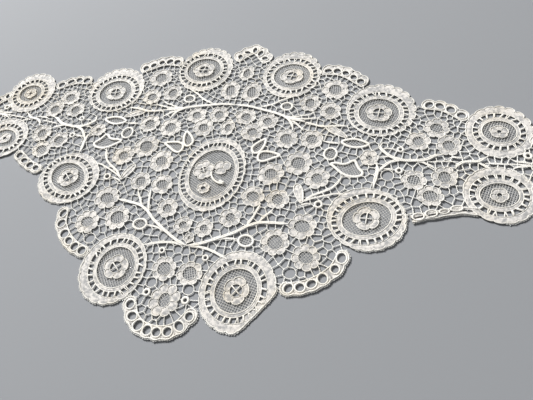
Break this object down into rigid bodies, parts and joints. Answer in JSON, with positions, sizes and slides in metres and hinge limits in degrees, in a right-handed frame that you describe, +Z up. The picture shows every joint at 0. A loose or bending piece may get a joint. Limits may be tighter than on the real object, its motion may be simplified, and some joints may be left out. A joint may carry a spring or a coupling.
{
  "type": "bobbin lace edging",
  "caption": "Lozenge-shaped bobbin lace edging lying flat: scalloped round medallions, ring-pierced borders and a flowered net with raised stems and two tapering arms.",
  "frame": {"origin": "middle of the centre medallion, on its underside, where the lace lies on a surface", "axes": "+X along the right arm, +Y across the lace towards its upper point, +Z up out of the surface"},
  "size_m": [0.3682, 0.2044, 0.0021],
  "materials": {
    "ground": "matt ivory linen thread, open net with cloth-stitch flowers",
    "border": "matt ivory linen, corded rings",
    "medallion": "matt ivory linen, cloth stitch with raised cords and fine mesh",
    "stem": "matt ivory linen, raised plaited stem"
  },
  "bodies": {
    "root": {"border_arm_bottom_left": "border", "border_arm_bottom_right": "border", "border_arm_top_left": "border", "border_arm_top_right": "border", "border_bottom_left": "border", "border_bottom_point": "border", "border_bottom_right": "border", "border_end_left": "border", "border_end_right": "border", "border_top_left": "border", "border_top_point": "border", "border_top_right": "border", "ground_arm_left": "ground", "ground_arm_right": "ground", "ground_centre": "ground", "ground_end_left": "ground", "ground_end_right": "ground", "medallion_bottom_arm_left": "medallion", "medallion_bottom_arm_right": "medallion", "medallion_bottom_inner_left": "medallion", "medallion_bottom_inner_right": "medallion", "medallion_bottom_outer_left": "medallion", "medallion_bottom_outer_right": "medallion", "medallion_centre": "medallion", "medallion_top_arm_left": "medallion", "medallion_top_arm_right": "medallion", "medallion_top_inner_left": "medallion", "medallion_top_inner_right": "medallion", "medallion_top_outer_left": "medallion", "medallion_top_outer_right": "medallion", "stem_arm_left": "stem", "stem_arm_right": "stem", "stem_bottom": "stem", "stem_top": "stem"}
  },
  "joints": []
}
